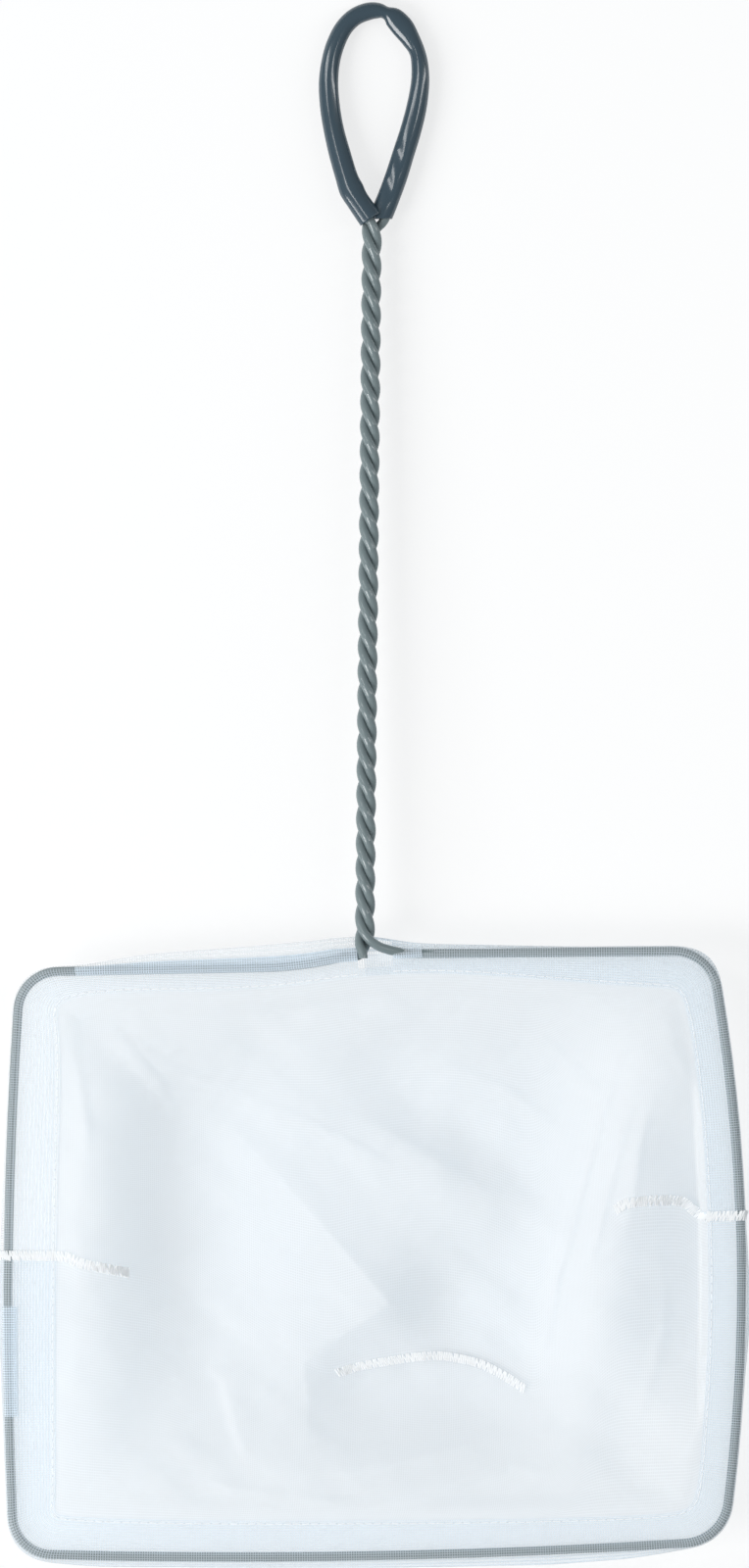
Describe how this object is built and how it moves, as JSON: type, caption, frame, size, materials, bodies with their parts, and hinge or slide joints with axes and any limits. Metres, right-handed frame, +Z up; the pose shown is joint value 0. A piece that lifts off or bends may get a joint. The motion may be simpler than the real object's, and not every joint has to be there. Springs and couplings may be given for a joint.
{
  "type": "aquarium fish net",
  "caption": "Small hand net for fish: a fine white net bag hemmed on to a coated wire hoop, with a long twisted wire handle and a sleeved hanging loop.",
  "frame": {"origin": "middle of the pouch's flat underside, on the surface that the net lies on, below the middle of the hoop", "axes": "+Y along the handle from the net to the hanging loop, +Z up out of the mouth of the net, +X to the right when seen from above with the loop at the top"},
  "size_m": [0.2009, 0.4206, 0.0235],
  "materials": {
    "steel_core": "bright drawn steel wire",
    "wire_jacket": "satin grey-green plastic coating",
    "sleeve": "glossy soft slate tube",
    "net": "fine soft woven mesh, see-through where single",
    "thread": "white sewing thread"
  },
  "bodies": {
    "root": {"hoop_core": "steel_core", "strand_one_core": "steel_core", "strand_two_core": "steel_core", "strand_three_core": "steel_core", "loop_core": "steel_core", "hoop_jacket": "wire_jacket", "strand_one_jacket": "wire_jacket", "strand_two_jacket": "wire_jacket", "strand_three_jacket": "wire_jacket", "loop_jacket": "wire_jacket", "handle_sleeve": "sleeve", "upper_panel": "net", "lower_panel": "net", "upper_right_hem": "net", "lower_hem": "net", "upper_left_hem": "net", "upper_right_thread": "thread", "lower_thread": "thread", "upper_left_thread": "thread", "left_seam": "thread", "right_seam": "thread"}
  },
  "joints": []
}
